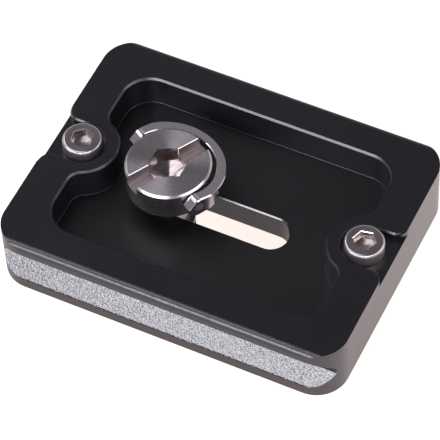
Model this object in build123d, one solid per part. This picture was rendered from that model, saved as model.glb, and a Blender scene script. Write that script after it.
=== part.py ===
from build123d import *
from math import cos, radians, sin, tan
import os

# Quick release plate for a tripod head, in millimetres.
# The origin is the middle of the camera face, the plane of the rubber pads. +Z points away from the
# camera and X runs along the dovetail. The camera screw stands lifted at the left end of its slot.

# Plate
plate_length = 50.0
plate_width = 38.0
plate_thickness = 9.0
corner_radius = 4.5
top_edge_round = 0.85
upper_lip_height = 1.75
lower_lip_height = 1.65
lower_lip_round = 0.4
groove_floor_height = 1.1

# Pocket that takes the head of the camera screw
side_wall = 5.0
end_wall = 5.25
web_thickness = 4.0
pocket_corner_radius = 4.0
pocket_edge_chamfer = 0.25
pocket_floor_fillet = 0.08

# Bosses, notches and stop screws at the two ends
stop_inset = 4.2
boss_radius = 5.1
boss_fillet = 2.0
notch_half_width = 3.2
notch_depth = 1.15
notch_mouth_round = 1.65
notch_edge_chamfer = 0.22
stop_head_diameter = 5.45
stop_head_height = 2.2
stop_head_chamfer = 0.4
stop_hex = 2.7
stop_hex_depth = 1.4
stop_hex_lead_in = 0.09
left_stop_heading = 41.0
right_stop_heading = 10.0
stop_shank_diameter = 3.0
stop_shank_length = 4.5
stop_tip_chamfer = 0.3
stop_hole_clearance = 0.05
stop_hole_spare_depth = 0.5

# Slot that the camera screw slides in
slot_width = 5.1
slot_travel = 14.9
slot_edge_chamfer = 0.18

# Rubber pads in the camera face
pad_proud = 0.5
pad_recess_depth = 1.0
pad_width = 9.0
pad_side_margin = 2.0
pad_end_margin = 4.0
pad_corner_radius = 2.0
pad_edge_round = 0.2
pad_clearance = 0.05

# Camera screw
head_diameter = 11.75
head_height = 4.5
head_top_chamfer = 0.3
head_chamfer_round = 0.1
head_bottom_chamfer = 0.28
head_lift = 3.0
driver_slot_width = 2.3
driver_slot_depth = 1.5
driver_slot_chamfer = 0.08
driver_slot_heading = 59.0
head_hex = 4.76
head_hex_depth = 2.45
hex_drill_angle = 140.0
hex_drill_oversize = 1.02
neck_clearance = 0.15
thread_diameter = 6.35
thread_length = 3.2
thread_tip_chamfer = 0.5
thread_top_gap = 0.1

# Ring that lifts for a finger grip, and its pins
pivot_below_head_top = 1.76
ring_droop = 9.0
ring_clearance = 0.2
ring_bore_shift = 0.25
ring_band_width = 1.325
ring_band_thickness = 1.3
ring_top_above_pivot = 1.5
ring_edge_chamfer = 0.12
lug_thickness = 1.385
lug_radius = 1.6
lug_front_angle = 180.0
lug_top_step = 0.15
lug_top_front = 0.4
lug_bevel_front = 0.73
lug_bevel_drop = 0.25
lug_edge_chamfer = 0.14
lug_reach = 2.8
lug_end_depth = 1.1
pin_diameter = 1.3
pin_depth_in_head = 1.7
pin_running_clearance = 0.05
ring_to_boss_gap = 0.15

# Washers on the neck of the camera screw
washer_bore_clearance = 0.05
retaining_washer_diameter = 6.4
retaining_washer_thickness = 0.4
retaining_washer_gap = 0.05
head_washer_diameter = 9.0
head_washer_thickness = 0.8

# Cutting tools run this far past the faces that they open
overcut = 1.0

# Heights
plate_bottom = pad_proud
plate_top = plate_bottom + plate_thickness
pocket_floor = plate_bottom + web_thickness
notch_floor = plate_top - notch_depth
head_bottom = pocket_floor + head_lift
head_top = head_bottom + head_height
pivot_height = head_top - pivot_below_head_top
retaining_washer_top = plate_bottom - retaining_washer_gap
retaining_washer_bottom = retaining_washer_top - retaining_washer_thickness
thread_top = retaining_washer_bottom - thread_top_gap

# Radii
head_radius = head_diameter / 2
neck_radius = slot_width / 2 - neck_clearance
washer_bore_radius = neck_radius + washer_bore_clearance
ring_bore_radius = head_radius + ring_clearance
ring_outer_radius = ring_bore_radius + ring_bore_shift + ring_band_width
lug_outer_face = ring_bore_radius + lug_thickness
pin_radius = pin_diameter / 2

# Places along the plate: the slot ends where the drooping ring just clears the left boss
droop = radians(ring_droop)
ring_reach = ring_outer_radius * cos(droop) + ring_top_above_pivot * sin(droop)
stop_x = plate_length / 2 - stop_inset
screw_x = ring_reach + ring_to_boss_gap + boss_radius - stop_x
slot_middle_x = screw_x + slot_travel / 2
pivot_heading = driver_slot_heading - 90


def faces_at(shape, height):
    """Flat faces of a shape that look up and lie at one height."""
    level = shape.faces().filter_by(Axis.Z)
    near = 1e-4
    return level.filter_by_position(Axis.Z, height - near, height + near)


def plate_section():
    """Section across the plate: two lips with a groove between them on each side."""
    half_width = plate_width / 2
    groove_low = plate_bottom + lower_lip_height
    groove_high = plate_top - upper_lip_height
    flank = (groove_high - groove_low - groove_floor_height) / 2
    half = Polyline(
        (0, plate_bottom),
        (half_width, plate_bottom),
        (half_width, groove_low),
        (half_width - flank, groove_low + flank),
        (half_width - flank, groove_high - flank),
        (half_width, groove_high),
        (half_width, plate_top),
        (0, plate_top),
        close=True,
    )
    face = make_face(half)
    outer = face.vertices().group_by(Axis.X)[-1].sort_by(Axis.Y)
    face = fillet(outer[-1], top_edge_round)
    outer = face.vertices().group_by(Axis.X)[-1].sort_by(Axis.Y)
    face = fillet(outer[1], lower_lip_round)
    return face + mirror(face, about=Plane.YZ)


def pocket_outline():
    """Pocket seen from above, with the two bosses standing in its ends."""
    outline = RectangleRounded(
        plate_length - 2 * end_wall, plate_width - 2 * side_wall, pocket_corner_radius
    )
    for x in (-stop_x, stop_x):
        outline -= Pos(x, 0) * Circle(boss_radius)
    ends = outline.vertices().filter_by_position(Axis.Y, -boss_radius, boss_radius)
    return fillet(ends, boss_fillet)


def notch_outline():
    """Notch in the right end, seen from above, with a rounded mouth."""
    end = plate_length / 2
    outline = Pos(stop_x, 0) * Circle(notch_half_width)
    outline += Pos((stop_x + end) / 2, 0) * Rectangle(end - stop_x, 2 * notch_half_width)
    mouth_width = 2 * (notch_half_width + notch_mouth_round + notch_edge_chamfer)
    outline += Pos(end + overcut / 2, 0) * Rectangle(overcut, mouth_width)
    near = 1e-4
    mouth = outline.vertices().filter_by_position(Axis.X, end - near, end + near)
    mouth = mouth.filter_by_position(Axis.Y, -notch_half_width - near, notch_half_width + near)
    return fillet(mouth, notch_mouth_round)


def pad_outline(clearance):
    """Outline of a rubber pad, made smaller all round by a clearance."""
    length = plate_length - 2 * pad_end_margin - 2 * clearance
    return RectangleRounded(length, pad_width - 2 * clearance, pad_corner_radius - clearance)


def make_plate_body():
    """Plate with its grooves, pocket, slot, notches, screw holes and pad recesses."""
    bar = extrude(Plane.YZ * plate_section(), plate_length / 2, both=True)
    outline = RectangleRounded(plate_length, plate_width, corner_radius)
    body = bar & Pos(0, 0, plate_bottom) * extrude(outline, plate_thickness)
    pocket_depth = plate_top - pocket_floor
    body -= Pos(0, 0, pocket_floor) * extrude(pocket_outline(), pocket_depth + overcut)
    body = chamfer(faces_at(body, plate_top)[0].inner_wires()[0].edges(), pocket_edge_chamfer)
    body = fillet(faces_at(body, pocket_floor)[0].outer_wire().edges(), pocket_floor_fillet)
    slot = extrude(SlotCenterToCenter(slot_travel, slot_width), web_thickness + 2 * overcut)
    body -= Pos(slot_middle_x, 0, plate_bottom - overcut) * slot
    body = chamfer(faces_at(body, pocket_floor)[0].inner_wires()[0].edges(), slot_edge_chamfer)
    notch = Pos(0, 0, notch_floor) * extrude(notch_outline(), notch_depth + overcut)
    notch_mouth = offset(notch_outline(), notch_edge_chamfer)
    notch += Pos(0, 0, plate_top) * lead_in(notch_mouth, notch_edge_chamfer)
    hole_depth = stop_shank_length + stop_hole_spare_depth
    hole_radius = stop_shank_diameter / 2 + stop_hole_clearance
    hole = Cylinder(hole_radius, hole_depth, align=(Align.CENTER, Align.CENTER, Align.MAX))
    for turn in (0, 180):
        body -= Rot(0, 0, turn) * notch
        body -= Rot(0, 0, turn) * Pos(stop_x, 0, notch_floor) * hole
    recess = extrude(pad_outline(0), pad_recess_depth + overcut)
    for side in (-1, 1):
        body -= Pos(0, side * pad_middle_y(), plate_bottom - overcut) * recess
    return body


def pad_middle_y():
    """Distance of a pad's middle line from the middle of the plate."""
    return plate_width / 2 - pad_side_margin - pad_width / 2


def make_grip_pad(side):
    """Rubber pad in its recess, standing proud of the plate."""
    pad = extrude(pad_outline(pad_clearance), pad_proud + pad_recess_depth)
    pad = fillet(pad.faces().sort_by(Axis.Z)[0].edges(), pad_edge_round)
    return Pos(0, side * pad_middle_y(), 0) * pad


def lead_in(mouth, depth):
    """Tool with 45 degree sides that breaks the edge of an opening, down from its mouth."""
    return extrude(mouth, -depth, taper=45)


def hex_socket(flats, depth):
    """Tool for a hex socket that ends on the point of a drill as wide as the hex's corners."""
    down = (Align.CENTER, Align.CENTER, Align.MAX)
    drill_radius = hex_drill_oversize * flats / 2 / cos(radians(30))
    point_height = drill_radius / tan(radians(hex_drill_angle / 2))
    drill = Cylinder(drill_radius, depth, align=down)
    drill += Pos(0, 0, -depth) * Cone(0, drill_radius, point_height, align=down)
    return drill & extrude(RegularPolygon(flats / 2, 6, major_radius=False), -depth - point_height)


def make_stop_screw(side):
    """Socket head screw that stands in an end notch."""
    head = extrude(Circle(stop_head_diameter / 2), stop_head_height)
    head = chamfer(head.faces().sort_by(Axis.Z)[-1].edges(), stop_head_chamfer)
    shank = extrude(Circle(stop_shank_diameter / 2), -stop_shank_length)
    shank = chamfer(shank.faces().sort_by(Axis.Z)[0].edges(), stop_tip_chamfer)
    socket = hex_socket(stop_hex, stop_hex_depth)
    mouth = RegularPolygon(stop_hex / 2 + stop_hex_lead_in, 6, major_radius=False)
    socket += lead_in(mouth, stop_hex_lead_in)
    screw = head + shank - Pos(0, 0, stop_head_height) * socket
    heading = left_stop_heading if side < 0 else right_stop_heading
    return Pos(side * stop_x, 0, notch_floor) * Rot(0, 0, heading) * screw


def make_camera_screw():
    """Camera screw with its head lifted off the pocket floor."""
    head = extrude(Circle(head_radius), head_height)
    head = chamfer(head.faces().sort_by(Axis.Z)[-1].edges(), head_top_chamfer)
    rims = head.edges().filter_by(GeomType.CIRCLE).group_by(Axis.Z)
    head = fillet(rims[-1] + rims[-2], head_chamfer_round)
    head = chamfer(head.faces().sort_by(Axis.Z)[0].edges(), head_bottom_chamfer)
    slot = extrude(Rectangle(driver_slot_width, 2 * head_diameter), -driver_slot_depth)
    mouth = Rectangle(driver_slot_width + 2 * driver_slot_chamfer, 2 * head_diameter)
    head -= Pos(0, 0, head_height) * slot
    head -= Pos(0, 0, head_height) * lead_in(mouth, driver_slot_chamfer)
    head -= Pos(0, 0, head_height) * hex_socket(head_hex, head_hex_depth)
    pin_hole = extrude(Plane.YZ * Circle(pin_radius), pin_depth_in_head + overcut)
    for turn in (0, 180):
        hole_start = Pos(head_radius - pin_depth_in_head, 0, head_height - pivot_below_head_top)
        head -= Rot(0, 0, turn) * hole_start * pin_hole
    neck_length = head_bottom - thread_top
    neck = extrude(Circle(neck_radius), -neck_length)
    thread = extrude(Circle(thread_diameter / 2), -thread_length)
    thread = chamfer(thread.faces().sort_by(Axis.Z)[0].edges(), thread_tip_chamfer)
    screw = head + neck + Pos(0, 0, -neck_length) * thread
    return Pos(screw_x, 0, head_bottom) * Rot(0, 0, pivot_heading) * screw


def on_pivot(shape):
    """Place a shape drawn about the pivot, with the pivot's axis along X."""
    return Pos(screw_x, 0, pivot_height) * Rot(0, 0, pivot_heading) * shape


def make_ring_pin(side):
    """Pin that carries one lug, flush with the lug's outer face."""
    inner_end = head_radius - pin_depth_in_head
    pin = extrude(Plane.YZ * Circle(pin_radius), lug_outer_face - inner_end)
    turn = 0 if side > 0 else 180
    return on_pivot(Rot(0, 0, turn) * Pos(inner_end, 0, 0) * pin)


def lug_outline():
    """Side of a lug, with the pivot at the origin and the ring's far side along +X."""
    top = ring_top_above_pivot - lug_top_step
    low_front = CenterArc((0, 0), lug_radius, lug_front_angle, 270 - lug_front_angle)
    rest = Polyline(
        low_front @ 1,
        (lug_reach, -lug_end_depth),
        (lug_reach, top),
        (-lug_top_front, top),
        (-lug_bevel_front, top - lug_bevel_drop),
        low_front @ 0,
    )
    return make_face(low_front + rest)


def make_d_ring():
    """Half ring with a lug at each end, folded down round the head of the screw."""
    size = 2 * ring_outer_radius
    disc = Circle(ring_outer_radius) - Pos(0, ring_bore_shift) * Circle(ring_bore_radius)
    band = extrude(disc, -ring_band_thickness)
    band = chamfer(band.edges().filter_by(GeomType.CIRCLE), ring_edge_chamfer)
    far_half = Pos(0, size / 2, 0) * Box(size, size, 2 * ring_band_thickness)
    ring = Pos(0, 0, ring_top_above_pivot) * (band & far_half)
    side = Plane.YZ * lug_outline()
    full_thickness = lug_thickness - lug_edge_chamfer
    lug = Pos(ring_bore_radius, 0, 0) * extrude(side, full_thickness)
    lug += Pos(ring_bore_radius + full_thickness, 0, 0) * extrude(side, lug_edge_chamfer, taper=45)
    bore = extrude(Plane.YZ * Circle(pin_radius + pin_running_clearance), lug_outer_face, both=True)
    ring += lug
    ring += mirror(lug, about=Plane.YZ)
    ring &= Cylinder(ring_outer_radius, size)
    sides = Box(2 * lug_outer_face, size, size, align=(Align.CENTER, Align.CENTER, Align.MAX))
    sides = chamfer(sides.faces().sort_by(Axis.Z)[-1].edges().filter_by(Axis.Y), lug_edge_chamfer)
    ring &= Pos(0, 0, ring_top_above_pivot) * sides
    ring -= bore
    return on_pivot(Rot(-ring_droop, 0, 0) * ring)


def make_washer(diameter, thickness, top):
    """Flat washer on the neck of the camera screw."""
    ring = Circle(diameter / 2) - Circle(washer_bore_radius)
    return Pos(screw_x, 0, top) * extrude(ring, -thickness)


pieces = {
    "plate_body": make_plate_body(),
    "grip_pad_front": make_grip_pad(-1),
    "grip_pad_rear": make_grip_pad(1),
    "stop_screw_left": make_stop_screw(-1),
    "stop_screw_right": make_stop_screw(1),
    "camera_screw": make_camera_screw(),
    "ring_pin_front": make_ring_pin(1),
    "ring_pin_rear": make_ring_pin(-1),
    "d_ring": make_d_ring(),
    "retaining_washer": make_washer(
        retaining_washer_diameter, retaining_washer_thickness, retaining_washer_top
    ),
    "head_washer": make_washer(head_washer_diameter, head_washer_thickness, head_bottom),
}

os.makedirs("parts", exist_ok=True)
for node, shape in pieces.items():
    export_step(shape, f"parts/{node}.step")
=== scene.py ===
"""Dresses a tripod quick release plate: finishes, knurls, screw thread, studio and camera."""

import math

import bmesh
import bpy
from mathutils import Matrix, Vector


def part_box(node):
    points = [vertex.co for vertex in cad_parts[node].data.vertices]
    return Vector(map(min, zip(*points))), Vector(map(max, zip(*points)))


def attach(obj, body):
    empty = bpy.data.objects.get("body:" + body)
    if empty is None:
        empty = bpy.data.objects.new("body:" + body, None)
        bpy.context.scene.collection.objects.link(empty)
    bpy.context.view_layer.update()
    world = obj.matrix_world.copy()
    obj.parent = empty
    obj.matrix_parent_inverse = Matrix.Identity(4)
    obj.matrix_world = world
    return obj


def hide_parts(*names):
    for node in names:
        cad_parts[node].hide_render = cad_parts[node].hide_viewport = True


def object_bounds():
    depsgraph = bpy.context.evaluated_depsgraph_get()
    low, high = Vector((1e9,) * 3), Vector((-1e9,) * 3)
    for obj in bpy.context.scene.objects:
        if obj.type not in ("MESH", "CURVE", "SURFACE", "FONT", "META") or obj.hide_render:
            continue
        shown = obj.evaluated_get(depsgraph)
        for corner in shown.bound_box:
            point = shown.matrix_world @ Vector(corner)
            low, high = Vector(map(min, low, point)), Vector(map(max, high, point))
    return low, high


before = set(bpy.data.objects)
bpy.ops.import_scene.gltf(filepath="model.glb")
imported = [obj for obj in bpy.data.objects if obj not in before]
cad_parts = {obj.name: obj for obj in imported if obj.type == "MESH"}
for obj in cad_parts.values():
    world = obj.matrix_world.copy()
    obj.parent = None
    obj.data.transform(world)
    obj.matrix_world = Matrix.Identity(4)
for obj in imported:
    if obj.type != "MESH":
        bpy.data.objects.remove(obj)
cad_low, cad_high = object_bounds()

bl_info = {
    "name": "Quick Release Plate",
    "version": (1, 0, 0),
    "blender": (4, 5, 0),
    "location": "3D View > Sidebar > Plate",
    "description": "Finishes, knurls, thread and studio for a tripod quick release plate",
    "category": "Object",
}

MM = 0.001

# Points nearer than this are one point, and a face whose normal rises more than this is level
MERGE = 1e-6
LEVEL = 0.99999

# Room between the thread's end and the floor, and the sides of the round floor
FLOOR_GAP = 0.02 * MM
FLOOR_SIDES = 96

# Glow of the floor in mirrors, brighter past this blend towards the rear right
LAMP_SIDE = (-0.01, 0.04)
DIM_SIDE_GLOW = 0.42
LIT_SIDE_GLOW = 0.85


# Node trees


class Socket:
    """An output of a node. Arithmetic on it adds Math nodes to its tree."""

    def __init__(self, sheet, output):
        self.sheet = sheet
        self.output = output

    def other(self, name):
        """Another output of the same node."""
        return Socket(self.sheet, pick(self.output.node.outputs, name))

    def math(self, operation, *rest):
        return self.sheet.math(operation, self, *rest)

    def __add__(self, value):
        return self.sheet.math("ADD", self, value)

    def __radd__(self, value):
        return self.sheet.math("ADD", value, self)

    def __sub__(self, value):
        return self.sheet.math("SUBTRACT", self, value)

    def __rsub__(self, value):
        return self.sheet.math("SUBTRACT", value, self)

    def __mul__(self, value):
        return self.sheet.math("MULTIPLY", self, value)

    def __rmul__(self, value):
        return self.sheet.math("MULTIPLY", value, self)

    def __truediv__(self, value):
        return self.sheet.math("DIVIDE", self, value)

    def __rtruediv__(self, value):
        return self.sheet.math("DIVIDE", value, self)


def pick(sockets, key):
    """A node's socket by its index, identifier or name."""
    if isinstance(key, int):
        return sockets[key]
    for socket in sockets:
        if socket.identifier == key:
            return socket
    return next(socket for socket in sockets if socket.name == key and socket.enabled)


class Sheet:
    """A shader or geometry tree that is filled node by node."""

    def __init__(self, tree):
        self.tree = tree

    def node(self, kind, settings=None, sockets=None, output=0):
        """Add a node, set its settings and then its sockets, and give one output."""
        made = self.tree.nodes.new(kind)
        for name, value in (settings or {}).items():
            setattr(made, name, value)
        for key, value in (sockets or {}).items():
            socket = pick(made.inputs, key)
            if isinstance(value, Socket):
                self.tree.links.new(value.output, socket)
            else:
                socket.default_value = value
        if not made.outputs:
            return None
        return Socket(self, pick(made.outputs, output))

    def math(self, operation, *values):
        return self.node("ShaderNodeMath", {"operation": operation}, dict(enumerate(values)))

    def point(self):
        """Place on the piece, in metres."""
        return self.node("ShaderNodeTexCoord", output="Object")

    def noise(self, grain, detail, place=None):
        """Noise whose blobs are about one grain across, on the piece or at another place."""
        sockets = {"Vector": place or self.point(), "Scale": 1.0 / grain, "Detail": detail}
        return self.node("ShaderNodeTexNoise", {}, sockets, "Fac")

    def mix(self, share, first, second):
        """Blend two colours."""
        sockets = {"Factor_Float": share, "A_Color": first, "B_Color": second}
        return self.node("ShaderNodeMix", {"data_type": "RGBA"}, sockets, "Result_Color")

    def spread(self, value, low, high, to_low, to_high):
        """Carry a value from one range to another, held at the ends."""
        sockets = {"Value": value, "From Min": low, "From Max": high, "To Min": to_low, "To Max": to_high}
        return self.node("ShaderNodeMapRange", {}, sockets, "Result")

    def bump(self, height, depth):
        """Normal of a surface with relief of a given depth."""
        sockets = {"Height": height, "Distance": depth, "Strength": 1.0}
        return self.node("ShaderNodeBump", {}, sockets, "Normal")

    def lathe(self, place, turn):
        """Distance from a lathe axis, and height along it."""
        settings = {"vector_type": "TEXTURE"}
        centred = self.node(
            "ShaderNodeMapping", settings, {"Vector": self.point(), "Location": place, "Rotation": turn}
        )
        across = self.node("ShaderNodeSeparateXYZ", {}, {"Vector": centred}, "X")
        side = across.other("Y")
        distance = (across * across + side * side).math("SQRT")
        return distance, across.other("Z")

    def surface(self, **sockets):
        """Close a material with one Principled shader."""
        values = {name.replace("_", " "): value for name, value in sockets.items()}
        shader = self.node("ShaderNodeBsdfPrincipled", {}, values, "BSDF")
        self.node("ShaderNodeOutputMaterial", {}, {"Surface": shader})


def new_finish(name):
    """An empty material and the sheet that fills it."""
    material = bpy.data.materials.new(name)
    material.use_nodes = True
    material.node_tree.nodes.clear()
    return material, Sheet(material.node_tree)


def shades(colour, low, high):
    """A darker and a paler shade of a colour."""
    dark = tuple(low * channel for channel in colour) + (1.0,)
    pale = tuple(high * channel for channel in colour) + (1.0,)
    return dark, pale


# Finishes

# Where the plate's parts begin and end, each with a short blend
POCKET_SIDE = (15.0 * MM, 16.0 * MM)
POCKET_END = (22.0 * MM, 23.0 * MM)
GROOVE_TOP = (7.8 * MM, 8.4 * MM)
ABOVE_FLOOR = (0.0, 0.01 * MM)
OFF_FLOOR = (0.01 * MM, 0.02 * MM)

# How far a broken edge's normal rises, from the walls' side to the level faces' side
STEEP_EDGE = (0.3, 0.4)
FLAT_EDGE = (0.9, 0.98)

# Finer dents among the blasted ones, and the blotches of the skin's colour, both against one dent
FINE_DENTS = 2.6
FINE_SHARE = 0.2
BLOTCH = 40

# Middle of a pattern's range, and how much the skin's patterns move its roughness
HALF = 0.5
DENT_WAVER = 0.25
BLOTCH_WAVER = 0.05


def make_black_anodise(settings):
    """Blasted aluminium with a black anodised skin, coarser in the dovetail grooves, and painted light that
    makes the pocket's walls paler.
    """
    material, sheet = new_finish("black_anodise")
    grain = sheet.noise(settings.blast_grain, 1.0)
    fine = sheet.noise(settings.blast_grain / FINE_DENTS, 1.0)
    blotch = sheet.noise(BLOTCH * settings.blast_grain, 2.0)
    along = sheet.node("ShaderNodeSeparateXYZ", {}, {"Vector": sheet.point()}, "X")
    outside = sheet.spread(along.other("Y").math("ABSOLUTE"), *POCKET_SIDE, 0.0, 1.0)
    below_lip = sheet.spread(along.other("Z"), *GROOVE_TOP, 1.0, 0.0)
    grooves = outside * below_lip
    from_floor = along.other("Z") - settings.pocket_floor
    above_floor = sheet.spread(from_floor, *ABOVE_FLOOR, 0.0, 1.0)
    at_floor = sheet.spread(from_floor.math("ABSOLUTE"), *OFF_FLOOR, 1.0, 0.0)
    facing = sheet.node("ShaderNodeNewGeometry", output="Normal")
    rise = sheet.node("ShaderNodeSeparateXYZ", {}, {"Vector": facing}, "Z").math("ABSOLUTE")
    leaning = sheet.spread(rise, *STEEP_EDGE, 0.0, 1.0)
    sloping = leaning * sheet.spread(rise, *FLAT_EDGE, 1.0, 0.0)
    edges = sloping * above_floor * (1.0 - grooves)
    from_ends = sheet.spread(along.math("ABSOLUTE"), *POCKET_END, 1.0, 0.0)
    pocket = from_ends * (1.0 - outside)
    floor = at_floor * pocket
    # Mask of the pocket's walls, where painted light makes the skin paler
    walls = (1.0 - leaning) * above_floor * pocket
    coarse = settings.face_blast + grooves * (1.0 - settings.face_blast)
    relief = (grain * (1.0 - FINE_SHARE) + fine * FINE_SHARE - HALF) * coarse
    dark, pale = shades(settings.anodise_colour, 0.8, 1.25)
    # Painted light: the pocket's walls take a copy of the skin's colour 1.9 to 2.9 times as pale, standing
    # in for light they catch
    painted_light_wall_dark, painted_light_wall_pale = shades(settings.anodise_colour, 1.9, 2.9)
    blasted = sheet.mix(blotch, dark, pale)
    # The paler wall colour below is painted light, blotched like the skin
    milled = sheet.mix(blotch, painted_light_wall_dark, painted_light_wall_pale)
    sheet.surface(
        Base_Color=sheet.mix(walls, blasted, milled),
        Roughness=settings.anodise_roughness
        + edges * settings.edge_dullness
        + floor * settings.floor_dullness
        + (grain - HALF) * coarse * DENT_WAVER
        + (blotch - HALF) * BLOTCH_WAVER,
        Metallic=floor * settings.floor_loss,
        IOR=settings.anodise_index,
        Normal=sheet.bump(relief, settings.blast_depth),
    )
    return material


def make_pad_rubber(settings):
    """Matt moulded rubber."""
    material, sheet = new_finish("pad_rubber")
    roughness = 0.72
    waver = 0.2
    pebble_width = 0.35 * MM
    pebble_depth = 0.03 * MM
    dust_width = 4 * MM
    pebble = sheet.noise(pebble_width, 3.0)
    dust = sheet.noise(dust_width, 4.0)
    dark, pale = shades(settings.rubber_colour, 0.8, 1.6)
    sheet.surface(
        Base_Color=sheet.mix(dust, dark, pale),
        Roughness=roughness + (dust - HALF) * waver,
        Normal=sheet.bump(pebble, pebble_depth),
    )
    return material


def make_turned_steel(
    name, colour, place, turn=(0.0, 0.0, 0.0), *, roughness, groove, depth, contrast, stretch=0.0
):
    """Steel with fine rings left by a lathe about an axis."""
    material, sheet = new_finish(name)
    side_pace = 0.73
    smear_width = 1.5 * MM
    ring_waver = 0.06
    smear_waver = 0.05
    distance, height = sheet.lathe(place, turn)
    along = distance + height * side_pace
    rings = sheet.node(
        "ShaderNodeTexNoise",
        {"noise_dimensions": "1D"},
        {"W": along, "Scale": 1.0 / groove, "Detail": 2.0, "Roughness": 0.6},
        "Fac",
    )
    smear = sheet.noise(smear_width, 3.0)
    dark, pale = shades(colour, 1.0 - contrast, 1.0 + contrast)
    sheet.surface(
        Base_Color=sheet.mix(rings, dark, pale),
        Metallic=1.0,
        Roughness=roughness + (rings - HALF) * ring_waver + (smear - HALF) * smear_waver,
        Anisotropic=stretch,
        Anisotropic_Rotation=0.25,
        Normal=sheet.bump(rings, depth),
    )
    return material


def make_milled_steel(name, settings, heading, roughness):
    """Steel with straight cutter marks along a heading."""
    material, sheet = new_finish(name)
    drawn_out = (0.03, 1.0, 1.0)
    mark_width = 0.22 * MM
    smear_width = 1.2 * MM
    smear_waver = 0.06
    turned = sheet.node(
        "ShaderNodeMapping",
        {"vector_type": "TEXTURE"},
        {"Vector": sheet.point(), "Rotation": (0.0, 0.0, heading)},
    )
    drawn = sheet.node(
        "ShaderNodeVectorMath",
        {"operation": "MULTIPLY"},
        {0: turned, 1: drawn_out},
        "Vector",
    )
    marks = sheet.noise(mark_width, 2.0, drawn)
    smear = sheet.noise(smear_width, 3.0)
    dark, pale = shades(settings.milled_colour, 0.5, 1.35)
    sheet.surface(
        Base_Color=sheet.mix(marks, dark, pale),
        Metallic=1.0,
        Roughness=roughness + (smear - HALF) * smear_waver,
        Normal=sheet.bump(marks, settings.mark_depth),
    )
    return material


def make_nylon(settings):
    """Moulded black nylon."""
    material, sheet = new_finish("washer_nylon")
    roughness = 0.5
    waver = 0.2
    cloud_width = 0.8 * MM
    cloud_depth = 0.01 * MM
    cloud = sheet.noise(cloud_width, 3.0)
    dark, pale = shades(settings.nylon_colour, 0.8, 1.3)
    sheet.surface(
        Base_Color=sheet.mix(cloud, dark, pale),
        Roughness=roughness + (cloud - HALF) * waver,
        Normal=sheet.bump(cloud, cloud_depth),
    )
    return material


# Meshes


def merged_copy(node):
    """A copy of a solid's mesh with its triangles joined."""
    shape = bmesh.new()
    shape.from_mesh(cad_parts[node].data)
    bmesh.ops.remove_doubles(shape, verts=shape.verts, dist=MERGE)
    return shape


def to_mesh(shape, name, crease):
    """A mesh with smooth faces, and creases at sharp edges and round level faces."""
    shape.normal_update()
    for face in shape.faces:
        face.smooth = True
    for edge in shape.edges:
        level = {abs(face.normal.z) > LEVEL for face in edge.link_faces}
        edge.smooth = edge.calc_face_angle(0.0) < crease and len(level) < 2
    mesh = bpy.data.meshes.new(name)
    shape.to_mesh(mesh)
    shape.free()
    if "custom_normal" in mesh.attributes:
        mesh.attributes.remove(mesh.attributes["custom_normal"])
    return mesh


def place_piece(mesh, name, materials, body, node):
    """Link a finished piece, let it ride on a body and stand for a solid."""
    for material in materials:
        mesh.materials.append(material)
    piece = bpy.data.objects.new(name, mesh)
    bpy.context.scene.collection.objects.link(piece)
    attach(piece, body)
    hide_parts(node)


def dress(node, material):
    """Give a solid that keeps its own mesh a finish."""
    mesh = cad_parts[node].data
    mesh.materials.clear()
    mesh.materials.append(material)


def middle(node):
    """Middle of a solid's box."""
    low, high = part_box(node)
    return (low + high) / 2


def evaluated_mesh(tree, values):
    """Plain mesh that a geometry tree makes with its inputs set."""
    seed = bpy.data.meshes.new("seed")
    carrier = bpy.data.objects.new("carrier", seed)
    bpy.context.scene.collection.objects.link(carrier)
    modifier = carrier.modifiers.new("build", "NODES")
    modifier.node_group = tree
    for item in tree.interface.items_tree:
        if item.item_type == "SOCKET" and item.in_out == "INPUT" and item.name in values:
            modifier[item.identifier] = values[item.name]
    carrier.update_tag()
    graph = bpy.context.evaluated_depsgraph_get()
    mesh = bpy.data.meshes.new_from_object(carrier.evaluated_get(graph))
    carrier.modifiers.remove(modifier)
    bpy.data.objects.remove(carrier)
    bpy.data.meshes.remove(seed)
    if not mesh.polygons:
        raise RuntimeError(tree.name + " made no faces")
    return mesh


def new_geometry_tree(name, inputs):
    """A geometry tree with named float inputs and a material."""
    tree = bpy.data.node_groups.new(name, "GeometryNodeTree")
    tree.interface.new_socket("Geometry", in_out="INPUT", socket_type="NodeSocketGeometry")
    for label in inputs:
        tree.interface.new_socket(label, in_out="INPUT", socket_type="NodeSocketFloat")
    tree.interface.new_socket("Material", in_out="INPUT", socket_type="NodeSocketMaterial")
    tree.interface.new_socket("Geometry", in_out="OUTPUT", socket_type="NodeSocketGeometry")
    sheet = Sheet(tree)
    first = sheet.node("NodeGroupInput")
    sizes = {label: first.other(label) for label in inputs}
    return tree, sheet, sizes, first.other("Material")


def wrapped_grid(sheet, columns, rows):
    """A grid with its two shares from 0 to 1."""
    grid = sheet.node(
        "GeometryNodeMeshGrid",
        {},
        {"Size X": 1.0, "Size Y": 1.0, "Vertices X": columns, "Vertices Y": rows},
        "Mesh",
    )
    place = sheet.node("GeometryNodeInputPosition")
    along = sheet.node("ShaderNodeSeparateXYZ", {}, {"Vector": place}, "X")
    return grid, along + 0.5, along.other("Y") + 0.5


def close_grid(sheet, grid, radius, angle, height, material):
    """Wrap a grid round the upright axis, weld its seam and end the tree."""
    across = radius * angle.math("COSINE")
    side = radius * angle.math("SINE")
    place = sheet.node("ShaderNodeCombineXYZ", {}, {"X": across, "Y": side, "Z": height}, "Vector")
    moved = sheet.node("GeometryNodeSetPosition", {}, {"Geometry": grid, "Position": place}, "Geometry")
    welded = sheet.node("GeometryNodeMergeByDistance", {}, {"Geometry": moved, "Distance": MERGE})
    real = sheet.node("GeometryNodeRealizeInstances", {}, {"Geometry": welded})
    dressed = sheet.node("GeometryNodeSetMaterial", {}, {"Geometry": real, "Material": material})
    sheet.node("NodeGroupOutput", {}, {"Geometry": dressed})


# Fine shapes of the thread, the knurl and the sockets

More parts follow.
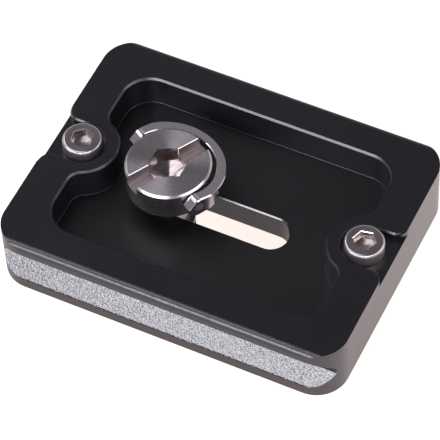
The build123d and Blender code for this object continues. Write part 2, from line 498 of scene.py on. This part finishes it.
THREAD_COLUMNS = 97
THREAD_STEPS = 20
THREAD_ROOT_FLAT = 0.2
THREAD_CREST_FLAT = 0.1
THREAD_RUN_OUT = 1.2
KNURL_STEPS = 6
KNURL_ROWS = 26
KNURL_WALL_SHARE = 0.6
KNURL_CREST = 1.25
KNURL_SIDE_RISE = 0.2
DRILL_OVERSIZE = 1.02
CREASE = math.radians(28)


def make_thread_tree(turns):
    """Right-handed ridge wound down from the origin, with its tip and its run-out cut to cones."""
    inputs = ["Crest Radius", "Root Radius", "Pitch", "Length", "Tip Chamfer"]
    tree, sheet, size, material = new_geometry_tree("helical_thread", inputs)
    grid, around, up = wrapped_grid(sheet, THREAD_COLUMNS, turns * THREAD_STEPS + 1)
    angle = around * 2.0 * math.pi
    height = (around + up * turns - turns) * size["Pitch"]
    height = height.math("MINIMUM", 0.0).math("MAXIMUM", size["Length"] * -1.0)
    phase = (height / size["Pitch"] - around).math("FRACT")
    ridge = 1.0 - (phase - 0.5).math("ABSOLUTE") * 2.0
    ridge = (ridge - THREAD_ROOT_FLAT) / (1.0 - THREAD_ROOT_FLAT - THREAD_CREST_FLAT)
    ridge = ridge.math("MAXIMUM", 0.0).math("MINIMUM", 1.0)
    radius = size["Root Radius"] + (size["Crest Radius"] - size["Root Radius"]) * ridge
    tip = size["Crest Radius"] - size["Tip Chamfer"] + (height + size["Length"])
    run_out = size["Root Radius"] - height * THREAD_RUN_OUT
    close_grid(sheet, grid, radius.math("MINIMUM", tip).math("MINIMUM", run_out), angle, height, material)
    return tree


def make_knurl_tree(teeth):
    """Band of straight ridges from the seat of a screw head up over its round shoulder."""
    inputs = ["Crest Radius", "Depth", "Height", "Shoulder", "Foot"]
    tree, sheet, size, material = new_geometry_tree("straight_knurl", inputs)
    grid, along, up = wrapped_grid(sheet, teeth * KNURL_STEPS + 1, KNURL_ROWS)
    angle = along * 2.0 * math.pi
    wall = (up / KNURL_WALL_SHARE).math("MINIMUM", 1.0)
    bend = ((up - KNURL_WALL_SHARE) / (1.0 - KNURL_WALL_SHARE)).math("MAXIMUM", 0.0) * (math.pi / 2)
    height = wall * (size["Height"] - size["Shoulder"]) + bend.math("SINE") * size["Shoulder"]
    ridge = (along * teeth).math("FRACT")
    ridge = 1.0 - (ridge - 0.5).math("ABSOLUTE") * 2.0
    ridge = (ridge * KNURL_CREST).math("MINIMUM", 1.0)
    valley = size["Depth"] * (1.0 - ridge) * bend.math("COSINE")
    radius = size["Crest Radius"] - valley - size["Shoulder"] * (1.0 - bend.math("COSINE"))
    foot = size["Crest Radius"] - size["Foot"] + height
    close_grid(sheet, grid, radius.math("MINIMUM", foot), angle, height, material)
    return tree


def add_ring(shape, count, radius_at, height):
    """Ring of points about the upright axis."""
    points = []
    for index in range(count):
        angle = 2 * math.pi * index / count
        radius = radius_at(angle)
        points.append(shape.verts.new((radius * math.cos(angle), radius * math.sin(angle), height)))
    return points


def bridge(shape, lower, upper, tag=0):
    """Faces between two rings, looking out where the second ring is the upper one."""
    count = len(lower)
    for index in range(count):
        after = (index + 1) % count
        face = shape.faces.new((lower[index], lower[after], upper[after], upper[index]))
        face.material_index = tag


def cap(shape, ring, height, upward, tag=0):
    """Close a ring with a fan to one point on the axis."""
    tip = shape.verts.new((0.0, 0.0, height))
    count = len(ring)
    for index in range(count):
        after = (index + 1) % count
        corners = (ring[index], ring[after], tip) if upward else (ring[after], ring[index], tip)
        face = shape.faces.new(corners)
        face.material_index = tag


def hexagon(flats):
    """Radius of a hexagon in each direction, with a corner at heading 0."""
    step = math.pi / 3

    def radius_at(angle):
        share = angle % step - step / 2
        return flats / 2 / math.cos(share)

    return radius_at


def round_of(radius):
    """The same radius in each direction."""
    return lambda angle: radius


# Settings


class PlateFinishSettings(bpy.types.PropertyGroup):
    """Finish of the plate and of its rubber pads."""

    anodise_colour: bpy.props.FloatVectorProperty(
        name="Anodise colour",
        description="Colour of the black anodised skin",
        subtype="COLOR",
        size=3,
        default=(0.0038, 0.0033, 0.0049),
    )
    anodise_index: bpy.props.FloatProperty(
        name="Skin index", description="Refractive index of the anodised skin", default=1.9
    )
    anodise_roughness: bpy.props.FloatProperty(
        name="Skin roughness",
        description="Roughness of the blasted skin",
        subtype="FACTOR",
        default=0.24,
    )
    blast_grain: bpy.props.FloatProperty(
        name="Blast grain",
        description="Width of the dents left by blasting",
        unit="LENGTH",
        default=0.26 * MM,
    )
    blast_depth: bpy.props.FloatProperty(
        name="Blast depth",
        description="Depth of the dents left by blasting",
        unit="LENGTH",
        default=0.06 * MM,
    )
    face_blast: bpy.props.FloatProperty(
        name="Face blast",
        description="Share of the dents' depth outside the grooves",
        subtype="FACTOR",
        default=0.35,
    )
    edge_dullness: bpy.props.FloatProperty(
        name="Edge dullness",
        description="Roughness added on the broken edges",
        subtype="FACTOR",
        default=0.14,
    )
    floor_dullness: bpy.props.FloatProperty(
        name="Floor dullness",
        description="Roughness added on the pocket's floor",
        subtype="FACTOR",
        default=0.14,
    )
    floor_loss: bpy.props.FloatProperty(
        name="Floor loss",
        description="Share of the skin's shine that the pocket's floor lacks",
        subtype="FACTOR",
        default=0.42,
    )
    pocket_floor: bpy.props.FloatProperty(
        name="Pocket floor",
        description="Height of the pocket's floor",
        unit="LENGTH",
        default=4.5 * MM,
    )
    rubber_colour: bpy.props.FloatVectorProperty(
        name="Rubber colour",
        description="Colour of the grip pads",
        subtype="COLOR",
        size=3,
        default=(0.022, 0.022, 0.023),
    )
    nylon_colour: bpy.props.FloatVectorProperty(
        name="Nylon colour",
        description="Colour of the washer under the screw's head",
        subtype="COLOR",
        size=3,
        default=(0.03, 0.03, 0.03),
    )


class SteelSettings(bpy.types.PropertyGroup):
    """Finish and fine shapes of the steel pieces."""

    steel_colour: bpy.props.FloatVectorProperty(
        name="Steel colour",
        description="Colour of the bare steel",
        subtype="COLOR",
        size=3,
        default=(0.62, 0.59, 0.6),
    )
    milled_colour: bpy.props.FloatVectorProperty(
        name="Milled colour",
        description="Colour of the steel in the driver slot and the hex sockets",
        subtype="COLOR",
        size=3,
        default=(0.58, 0.505, 0.49),
    )
    slot_roughness: bpy.props.FloatProperty(
        name="Slot roughness",
        description="Roughness of the driver slot",
        subtype="FACTOR",
        default=0.38,
    )
    hex_roughness: bpy.props.FloatProperty(
        name="Hex roughness",
        description="Roughness of the head's hex socket",
        subtype="FACTOR",
        default=0.15,
    )
    stop_hex_roughness: bpy.props.FloatProperty(
        name="Stop hex roughness",
        description="Roughness of the stop screws' sockets",
        subtype="FACTOR",
        default=0.24,
    )
    mark_depth: bpy.props.FloatProperty(
        name="Cutter marks",
        description="Depth of the cutter marks",
        unit="LENGTH",
        default=0.002 * MM,
    )
    pin_colour: bpy.props.FloatVectorProperty(
        name="Pin colour",
        description="Colour of the darker steel of the ring pins",
        subtype="COLOR",
        size=3,
        default=(0.55, 0.53, 0.53),
    )
    thread_pitch: bpy.props.FloatProperty(
        name="Thread pitch",
        description="Rise of the camera thread in one turn",
        unit="LENGTH",
        default=1.27 * MM,
    )
    thread_length: bpy.props.FloatProperty(
        name="Thread length",
        description="Length of the camera thread",
        unit="LENGTH",
        default=3.2 * MM,
    )
    thread_depth: bpy.props.FloatProperty(
        name="Thread depth",
        description="Depth of the camera thread",
        unit="LENGTH",
        default=0.76 * MM,
    )
    thread_tip: bpy.props.FloatProperty(
        name="Thread tip",
        description="Chamfer at the end of the thread",
        unit="LENGTH",
        default=0.5 * MM,
    )
    knurl_teeth: bpy.props.IntProperty(
        name="Knurl ridges", description="Ridges round the head of a stop screw", default=72
    )
    knurl_depth: bpy.props.FloatProperty(
        name="Knurl depth", description="Depth of the knurl", unit="LENGTH", default=0.07 * MM
    )
    stop_head_height: bpy.props.FloatProperty(
        name="Stop head height",
        description="Height of a stop screw's head",
        unit="LENGTH",
        default=2.2 * MM,
    )
    stop_shoulder: bpy.props.FloatProperty(
        name="Stop shoulder",
        description="Round at the top of a stop screw's head",
        unit="LENGTH",
        default=0.42 * MM,
    )
    stop_hex: bpy.props.FloatProperty(
        name="Stop hex", description="Hex socket across its flats", unit="LENGTH", default=2.7 * MM
    )
    stop_hex_depth: bpy.props.FloatProperty(
        name="Stop hex depth",
        description="Depth of the hex socket",
        unit="LENGTH",
        default=1.4 * MM,
    )
    stop_hex_lead_in: bpy.props.FloatProperty(
        name="Stop hex lead-in",
        description="Chamfer at the mouth of the hex socket",
        unit="LENGTH",
        default=0.09 * MM,
    )
    drill_point: bpy.props.FloatProperty(
        name="Drill point",
        description="Angle of the drill point under a hex",
        subtype="ANGLE",
        default=math.radians(140),
    )
    stop_shank: bpy.props.FloatProperty(
        name="Stop shank",
        description="Diameter of a stop screw's shank",
        unit="LENGTH",
        default=3.0 * MM,
    )


class StudioSettings(bpy.types.PropertyGroup):
    """Lamps, floor and camera."""

    left_strength: bpy.props.FloatProperty(
        name="Left lamp",
        description="Brightness of the left softbox, where white paper is 1",
        default=10.0,
    )
    right_strength: bpy.props.FloatProperty(
        name="Right lamp",
        description="Brightness of the right softbox, where white paper is 1",
        default=3.0,
    )
    top_strength: bpy.props.FloatProperty(
        name="Top panel",
        description="Brightness of the panel overhead, where white paper is 1",
        default=1.8,
    )
    far_strength: bpy.props.FloatProperty(
        name="Far lamp",
        description="Brightness of the small far left lamp, where white paper is 1",
        default=2.5,
    )
    lamp_colour: bpy.props.FloatVectorProperty(
        name="Lamp colour",
        description="Colour of the softboxes",
        subtype="COLOR",
        size=3,
        default=(0.94, 0.93, 1.0),
    )
    wall_colour: bpy.props.FloatVectorProperty(
        name="Walls",
        description="Dim light from the walls of the room",
        subtype="COLOR",
        size=3,
        default=(0.29, 0.279, 0.305),
    )
    ceiling_colour: bpy.props.FloatVectorProperty(
        name="Ceiling",
        description="Dimmer light from the ceiling of the room",
        subtype="COLOR",
        size=3,
        default=(0.086, 0.0795, 0.0935),
    )
    floor_glow: bpy.props.FloatVectorProperty(
        name="Floor glow",
        description="White of the lit paper floor in the picture",
        subtype="COLOR",
        size=3,
        default=(0.98, 0.88, 0.82),
    )
    mirror_glow: bpy.props.FloatVectorProperty(
        name="Mirrored glow",
        description="White of the lit paper floor as the plate mirrors it",
        subtype="COLOR",
        size=3,
        default=(1.0, 0.88, 0.87),
    )
    camera_azimuth: bpy.props.FloatProperty(
        name="Azimuth",
        description="Camera's turn round the plate",
        subtype="ANGLE",
        default=math.radians(28.368),
    )
    camera_elevation: bpy.props.FloatProperty(
        name="Elevation",
        description="Camera's height angle",
        subtype="ANGLE",
        default=math.radians(53.445),
    )
    camera_roll: bpy.props.FloatProperty(
        name="Roll",
        description="Camera's tilt about its own axis",
        subtype="ANGLE",
        default=math.radians(-3.298),
    )
    camera_distance: bpy.props.FloatProperty(
        name="Distance",
        description="Camera's distance from its target",
        unit="LENGTH",
        default=0.385274,
    )
    camera_target: bpy.props.FloatVectorProperty(
        name="Target",
        description="Point in the middle of the picture",
        subtype="TRANSLATION",
        size=3,
        default=(0.000197, -0.001162, 0.005),
    )
    camera_lens: bpy.props.FloatProperty(
        name="Lens", description="Focal length in millimetres on a 36 mm sensor", default=235.23
    )


class PlateLooks(bpy.types.PropertyGroup):
    """All settings of the dressed plate."""

    plate: bpy.props.PointerProperty(name="Plate", description="Plate and pads", type=PlateFinishSettings)
    steel: bpy.props.PointerProperty(name="Steel", description="Steel pieces", type=SteelSettings)
    studio: bpy.props.PointerProperty(name="Studio", description="Lamps and camera", type=StudioSettings)


# Headings of the driver slot and of a corner of each stop screw's hex, and the ring's droop at rest

DRIVER_SLOT_HEADING = math.radians(59.0)
RING_DROOP = math.radians(9.0)
STOP_HEX_HEADINGS = {"stop_screw_left": math.radians(41.0), "stop_screw_right": math.radians(10.0)}


class PLATE_OT_dress_plate(bpy.types.Operator):
    """Give the plate its blasted black skin"""

    bl_idname = "plate.dress_plate"
    bl_label = "Plate"

    def execute(self, context):
        dress("plate_body", make_black_anodise(context.scene.plate_looks.plate))
        return {"FINISHED"}


class PLATE_OT_dress_pads(bpy.types.Operator):
    """Give the grip pads their rubber"""

    bl_idname = "plate.dress_pads"
    bl_label = "Grip pads"

    def execute(self, context):
        rubber = make_pad_rubber(context.scene.plate_looks.plate)
        for node in ("grip_pad_front", "grip_pad_rear"):
            dress(node, rubber)
        return {"FINISHED"}


class PLATE_OT_build_camera_screw(bpy.types.Operator):
    """Build the camera screw with its turned head and its thread"""

    bl_idname = "plate.build_camera_screw"
    bl_label = "Camera screw"

    def execute(self, context):
        steel = context.scene.plate_looks.steel
        low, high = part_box("camera_screw")
        axis = Vector(((low.x + high.x) / 2, (low.y + high.y) / 2, 0.0))
        head_radius = (high.x - low.x) / 2
        thread_top = low.z + steel.thread_length
        thread_radius = max(
            math.hypot(v.co.x - axis.x, v.co.y - axis.y)
            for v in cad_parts["camera_screw"].data.vertices
            if v.co.z < thread_top - steel.thread_tip
        )
        turned = make_turned_steel(
            "turned_steel",
            steel.steel_colour,
            axis,
            roughness=0.27,
            groove=0.1 * MM,
            depth=0.001 * MM,
            contrast=0.05,
            stretch=0.4,
        )
        faced = make_turned_steel(
            "faced_steel",
            steel.steel_colour,
            axis,
            roughness=0.28,
            groove=0.1 * MM,
            depth=0.0006 * MM,
            contrast=0.03,
            stretch=0.9,
        )
        milled = make_milled_steel("slot_steel", steel, DRIVER_SLOT_HEADING, steel.slot_roughness)
        socket = make_milled_steel("hex_steel", steel, DRIVER_SLOT_HEADING, steel.hex_roughness)
        shape = merged_copy("camera_screw")
        cut = [face for face in shape.faces if max(v.co.z for v in face.verts) < thread_top + MERGE]
        bmesh.ops.delete(shape, geom=cut, context="FACES")
        self.mark_cut_faces(shape, axis, head_radius, high.z)
        values = {
            "Crest Radius": thread_radius,
            "Root Radius": thread_radius - steel.thread_depth,
            "Pitch": steel.thread_pitch,
            "Length": steel.thread_length,
            "Tip Chamfer": steel.thread_tip,
            "Material": turned,
        }
        turns = math.ceil(steel.thread_length / steel.thread_pitch) + 1
        thread = evaluated_mesh(make_thread_tree(turns), values)
        thread.transform(Matrix.Translation((axis.x, axis.y, thread_top)))
        shape.from_mesh(thread)
        bpy.data.meshes.remove(thread)
        self.join_thread(shape, thread_top, low.z)
        name = "camera_screw_dressed"
        mesh = to_mesh(shape, name, CREASE)
        finishes = [turned, milled, socket, faced]
        place_piece(mesh, name, finishes, "screw", "camera_screw")
        return {"FINISHED"}

    def mark_cut_faces(self, shape, axis, head_radius, head_top):
        """The driver slot and the hex are milled, and the top is faced on a lathe."""
        slot_side = Vector((-math.sin(DRIVER_SLOT_HEADING), math.cos(DRIVER_SLOT_HEADING), 0.0))
        slot_half_width = 1.3 * MM
        hex_corner = 2.8 * MM
        cut_depth = 4.2 * MM
        near = 0.01 * MM
        edge = 0.09 * MM
        rim = 0.05 * MM
        for face in shape.faces:
            middle_point = face.calc_center_median() - axis
            radius = math.hypot(middle_point.x, middle_point.y)
            below = head_top - middle_point.z
            inside = radius < head_radius - rim and edge < below < cut_depth
            if inside and radius < hex_corner:
                face.material_index = 2
            elif inside and abs(middle_point.dot(slot_side)) < slot_half_width:
                face.material_index = 1
            elif below < near:
                face.material_index = 3

    def join_thread(self, shape, thread_top, thread_bottom):
        """Join the thread to the neck above it, and close its end."""
        bmesh.ops.bridge_loops(shape, edges=self.rim(shape, thread_top))
        bmesh.ops.holes_fill(shape, edges=self.rim(shape, thread_bottom), sides=0)
        bmesh.ops.recalc_face_normals(shape, faces=shape.faces)
        if any(not edge.is_manifold for edge in shape.edges):
            raise RuntimeError("The camera screw is not closed")

    def rim(self, shape, height):
        """Open edges at a height."""
        rim = [edge for edge in shape.edges if edge.is_boundary]
        return [edge for edge in rim if all(abs(v.co.z - height) < 10 * MERGE for v in edge.verts)]


class PLATE_OT_build_stop_screws(bpy.types.Operator):
    """Build the two knurled stop screws"""

    bl_idname = "plate.build_stop_screws"
    bl_label = "Stop screws"

    def execute(self, context):
        steel = context.scene.plate_looks.steel
        tree = make_knurl_tree(steel.knurl_teeth)
        for node, heading in STOP_HEX_HEADINGS.items():
            low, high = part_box(node)
            seat = Vector(((low.x + high.x) / 2, (low.y + high.y) / 2, high.z - steel.stop_head_height))
            faced = make_turned_steel(
                node + "_steel",
                steel.steel_colour,
                seat,
                roughness=0.22,
                groove=0.12 * MM,
                depth=0.001 * MM,
                contrast=0.06,
                stretch=0.4,
            )
            milled = make_milled_steel(node + "_hex", steel, heading, steel.stop_hex_roughness)
            ridged = make_turned_steel(
                node + "_ridges",
                steel.steel_colour,
                seat,
                roughness=0.4,
                groove=0.12 * MM,
                depth=0.001 * MM,
                contrast=0.1,
            )
            crest_radius = (high.x - low.x) / 2
            shape = self.lofted(steel, crest_radius, seat.z - low.z)
            values = {
                "Crest Radius": crest_radius,
                "Depth": steel.knurl_depth,
                "Height": steel.stop_head_height,
                "Shoulder": steel.stop_shoulder,
                "Foot": 2 * steel.knurl_depth,
                "Material": ridged,
            }
            knurl = evaluated_mesh(tree, values)
            plain_faces = len(shape.faces)
            shape.from_mesh(knurl)
            shape.faces.ensure_lookup_table()
            for face in shape.faces[plain_faces:]:
                face.material_index = 2 if abs(face.normal.z) < KNURL_SIDE_RISE else 0
            bpy.data.meshes.remove(knurl)
            bmesh.ops.remove_doubles(shape, verts=shape.verts, dist=MERGE)
            bmesh.ops.transform(shape, verts=shape.verts, matrix=Matrix.Rotation(heading, 4, "Z"))
            bmesh.ops.translate(shape, verts=shape.verts, vec=seat)
            bmesh.ops.recalc_face_normals(shape, faces=shape.faces)
            name = node + "_knurled"
            mesh = to_mesh(shape, name, CREASE)
            place_piece(mesh, name, [faced, milled, ridged], "plate", node)
        return {"FINISHED"}

    def lofted(self, steel, crest_radius, shank_length):
        """Seat, shank, top face and hex socket, with the seat at height 0."""
        shape = bmesh.new()
        count = steel.knurl_teeth * KNURL_STEPS
        top = steel.stop_head_height
        shank = steel.stop_shank / 2
        tip = 0.3 * MM
        mouth = steel.stop_hex_lead_in
        hex_corner = steel.stop_hex / 2 / math.cos(math.radians(30))
        drill_radius = DRILL_OVERSIZE * hex_corner
        drill_slope = 1.0 / math.tan(steel.drill_point / 2)
        rings = [
            add_ring(shape, count, round_of(shank - tip), -shank_length),
            add_ring(shape, count, round_of(shank), tip - shank_length),
            add_ring(shape, count, round_of(shank), 0.0),
            add_ring(shape, count, round_of(crest_radius - 2 * steel.knurl_depth), 0.0),
        ]
        for lower, upper in zip(rings, rings[1:]):
            bridge(shape, lower, upper)
        cap(shape, rings[0], -shank_length, False)
        floor_height = top - steel.stop_hex_depth
        outer = add_ring(shape, count, round_of(crest_radius - steel.stop_shoulder), top)
        lip = add_ring(shape, count, hexagon(steel.stop_hex + 2 * mouth), top)
        edge = add_ring(shape, count, hexagon(steel.stop_hex), top - mouth)
        floor = add_ring(shape, count, hexagon(steel.stop_hex), floor_height)
        for point in floor:
            point.co.z -= (drill_radius - point.co.xy.length) * drill_slope
        bridge(shape, outer, lip)
        bridge(shape, lip, edge)
        bridge(shape, edge, floor, 1)
        cap(shape, floor, floor_height - drill_radius * drill_slope, True, 1)
        return shape


class PLATE_OT_dress_ring(bpy.types.Operator):
    """Give the lifting ring and its pins their turned steel"""

    bl_idname = "plate.dress_ring"
    bl_label = "Ring and pins"

    def execute(self, context):
        steel = context.scene.plate_looks.steel
        pivot = (middle("ring_pin_front") + middle("ring_pin_rear")) / 2
        heading = DRIVER_SLOT_HEADING - math.pi / 2
        ring = make_turned_steel(
            "ring_steel",
            steel.steel_colour,
            pivot,
            (-RING_DROOP, 0, heading),
            roughness=0.16,
            groove=0.26 * MM,
            depth=0.002 * MM,
            contrast=0.2,
        )
        dress("d_ring", ring)
        pin = make_turned_steel(
            "pin_steel",
            steel.pin_colour,
            pivot,
            (0, math.pi / 2, heading),
            roughness=0.42,
            groove=0.35 * MM,
            depth=0.05 * MM,
            contrast=0.4,
        )
        for node in ("ring_pin_front", "ring_pin_rear"):
            dress(node, pin)
        return {"FINISHED"}


class PLATE_OT_dress_washers(bpy.types.Operator):
    """Give the two washers their finishes"""

    bl_idname = "plate.dress_washers"
    bl_label = "Washers"

    def execute(self, context):
        looks = context.scene.plate_looks
        place = middle("retaining_washer")
        steel = make_turned_steel(
            "washer_steel",
            looks.steel.steel_colour,
            place,
            roughness=0.32,
            groove=0.2 * MM,
            depth=0.002 * MM,
            contrast=0.08,
        )
        dress("retaining_washer", steel)
        dress("head_washer", make_nylon(looks.plate))
        return {"FINISHED"}


class PLATE_OT_set_studio(bpy.types.Operator):
    """Set up the paper floor, the softboxes, the dim room and the camera"""

    bl_idname = "plate.set_studio"
    bl_label = "Studio"

    def execute(self, context):
        studio = context.scene.plate_looks.studio
        context.scene.view_settings.view_transform = "Standard"
        self.add_floor(studio)
        self.add_room(context, studio)
        self.add_softbox("softbox_left", studio, (-97.0, 32.0), (0.85, 0.3), studio.left_strength)
        self.add_softbox("softbox_right", studio, (-8.0, 30.0), (1.0, 0.34), studio.right_strength)
        self.add_softbox("panel_top", studio, (-170.0, 71.0), (0.55, 0.55), studio.top_strength)
        self.add_softbox("softbox_far", studio, (172.0, 40.0), (0.55, 0.36), studio.far_strength)
        self.add_camera(context, studio)
        return {"FINISHED"}

    def add_floor(self, studio):
        """Round paper floor that sweeps up a little at its far edge."""
        shape = bmesh.new()
        floor_height = cad_low.z - FLOOR_GAP
        profile = [(0.3, 0.0), (1.6, 0.0), (2.2, 0.03), (2.7, 0.12), (3.0, 0.3), (3.1, 0.55)]
        rings = [
            add_ring(shape, FLOOR_SIDES, round_of(radius), floor_height + rise) for radius, rise in profile
        ]
        for inner, outer in zip(rings, rings[1:]):
            bridge(shape, outer, inner)
        cap(shape, rings[0], floor_height, True)
        mesh = to_mesh(shape, "paper_floor", math.radians(60))
        floor = bpy.data.objects.new("paper_floor", mesh)
        bpy.context.scene.collection.objects.link(floor)
        mesh.materials.append(self.make_paper(studio))

    def make_paper(self, studio):
        """White paper that shows as white to the camera and to mirrors, and takes a soft shadow."""
        material, sheet = new_finish("floor_paper")
        camera_ray = sheet.node("ShaderNodeLightPath", output="Is Camera Ray")
        through_ray = camera_ray.other("Is Transmission Ray")
        mirror_ray = camera_ray.other("Is Glossy Ray").math("MAXIMUM", through_ray)
        glow_colour = tuple(studio.floor_glow) + (1.0,)
        glow = sheet.node("ShaderNodeEmission", {}, {"Color": glow_colour, "Strength": 1.0})
        veil = sheet.node("ShaderNodeBsdfDiffuse", {}, {"Color": (0.45, 0.45, 0.45, 1.0)})
        bright = sheet.node("ShaderNodeAddShader", {}, {0: glow, 1: veil})
        mirror_colour = tuple(studio.mirror_glow) + (1.0,)
        across = sheet.node("ShaderNodeSeparateXYZ", {}, {"Vector": sheet.point()}, "X")
        toward_lamp = sheet.spread(across + across.other("Y"), *LAMP_SIDE, 0.0, 1.0)
        dim_side = sheet.node("ShaderNodeEmission", {}, {"Color": mirror_colour, "Strength": DIM_SIDE_GLOW})
        lit_side = sheet.node("ShaderNodeEmission", {}, {"Color": mirror_colour, "Strength": LIT_SIDE_GLOW})
        mirrored = sheet.node("ShaderNodeMixShader", {}, {0: toward_lamp, 1: dim_side, 2: lit_side})
        dimmed = sheet.node("ShaderNodeBsdfDiffuse", {}, {"Color": (0.42, 0.37, 0.365, 1.0)})
        mirrored = sheet.node("ShaderNodeAddShader", {}, {0: mirrored, 1: dimmed})
        paper = sheet.node("ShaderNodeBsdfDiffuse", {}, {"Color": (0.8, 0.77, 0.74, 1.0)})
        unseen = sheet.node("ShaderNodeMixShader", {}, {0: mirror_ray, 1: paper, 2: mirrored})
        lit = sheet.node("ShaderNodeMixShader", {}, {0: camera_ray, 1: unseen, 2: bright})
        clear = sheet.node("ShaderNodeBsdfTransparent")
        back = sheet.node("ShaderNodeNewGeometry", output="Backfacing")
        both = sheet.node("ShaderNodeMixShader", {}, {0: back, 1: lit, 2: clear})
        sheet.node("ShaderNodeOutputMaterial", {}, {"Surface": both})
        return material

    def add_room(self, context, studio):
        """Dim light from all round, dimmer overhead."""
        world = bpy.data.worlds.new("room")
        world.use_nodes = True
        world.node_tree.nodes.clear()
        sheet = Sheet(world.node_tree)
        direction = sheet.node("ShaderNodeTexCoord", output="Generated")
        rise = sheet.node("ShaderNodeSeparateXYZ", {}, {"Vector": direction}, "Z")
        overhead = sheet.spread(rise, 0.66, 0.8, 0.0, 1.0)
        walls = tuple(studio.wall_colour) + (1.0,)
        ceiling = tuple(studio.ceiling_colour) + (1.0,)
        room_colour = sheet.mix(overhead, walls, ceiling)
        light = sheet.node("ShaderNodeBackground", {}, {"Color": room_colour, "Strength": 1.0})
        sheet.node("ShaderNodeOutputWorld", {}, {"Surface": light})
        context.scene.world = world

    def add_softbox(self, name, studio, heading, size, strength):
        """Softbox one metre away, at an azimuth and elevation, that faces the plate."""
        azimuth, elevation = (math.radians(angle) for angle in heading)
        flat = math.cos(elevation)
        out = Vector((math.cos(azimuth) * flat, math.sin(azimuth) * flat, math.sin(elevation)))
        lamp = bpy.data.lights.new(name, "AREA")
        lamp.shape = "RECTANGLE"
        lamp.color = studio.lamp_colour
        lamp.size, lamp.size_y = size
        lamp.energy = strength * math.pi * size[0] * size[1]
        box = bpy.data.objects.new(name, lamp)
        box.location = out
        box.rotation_euler = (-out).to_track_quat("-Z", "Y").to_euler()
        bpy.context.scene.collection.objects.link(box)

    def add_camera(self, context, studio):
        """Long lens at the picture's viewing angle."""
        azimuth = studio.camera_azimuth
        flat = math.cos(studio.camera_elevation)
        climb = math.sin(studio.camera_elevation)
        roll = studio.camera_roll
        back = Vector((math.sin(azimuth) * flat, -math.cos(azimuth) * flat, climb))
        level = Vector((math.cos(azimuth), math.sin(azimuth), 0.0))
        upright = back.cross(level)
        right = level * math.cos(roll) + upright * math.sin(roll)
        up = upright * math.cos(roll) - level * math.sin(roll)
        lens = bpy.data.cameras.new("camera")
        lens.lens = studio.camera_lens
        lens.sensor_width = 36.0
        lens.clip_start = 0.01
        lens.clip_end = 100.0
        camera = bpy.data.objects.new("camera", lens)
        turn = Matrix((right, up, back)).transposed().to_4x4()
        place = Vector(studio.camera_target) + back * studio.camera_distance
        camera.matrix_world = Matrix.Translation(place) @ turn
        bpy.context.scene.collection.objects.link(camera)
        context.scene.camera = camera


OPERATORS = (
    PLATE_OT_set_studio,
    PLATE_OT_dress_plate,
    PLATE_OT_dress_pads,
    PLATE_OT_build_camera_screw,
    PLATE_OT_build_stop_screws,
    PLATE_OT_dress_ring,
    PLATE_OT_dress_washers,
)


class PLATE_PT_looks(bpy.types.Panel):
    """Pieces of the plate and the studio"""

    bl_idname = "PLATE_PT_looks"
    bl_label = "Quick Release Plate"
    bl_space_type = "VIEW_3D"
    bl_region_type = "UI"
    bl_category = "Plate"

    def draw(self, context):
        for operator in OPERATORS:
            self.layout.operator(operator.bl_idname)


CLASSES = (PlateFinishSettings, SteelSettings, StudioSettings, PlateLooks) + OPERATORS + (PLATE_PT_looks,)


def register():
    for cls in CLASSES:
        bpy.utils.register_class(cls)
    bpy.types.Scene.plate_looks = bpy.props.PointerProperty(type=PlateLooks)


def unregister():
    del bpy.types.Scene.plate_looks
    for cls in reversed(CLASSES):
        bpy.utils.unregister_class(cls)


def main():
    register()
    bpy.ops.plate.set_studio()
    bpy.ops.plate.dress_plate()
    bpy.ops.plate.dress_pads()
    bpy.ops.plate.build_camera_screw()
    bpy.ops.plate.build_stop_screws()
    bpy.ops.plate.dress_ring()
    bpy.ops.plate.dress_washers()


if __name__ == "__main__":
    main()
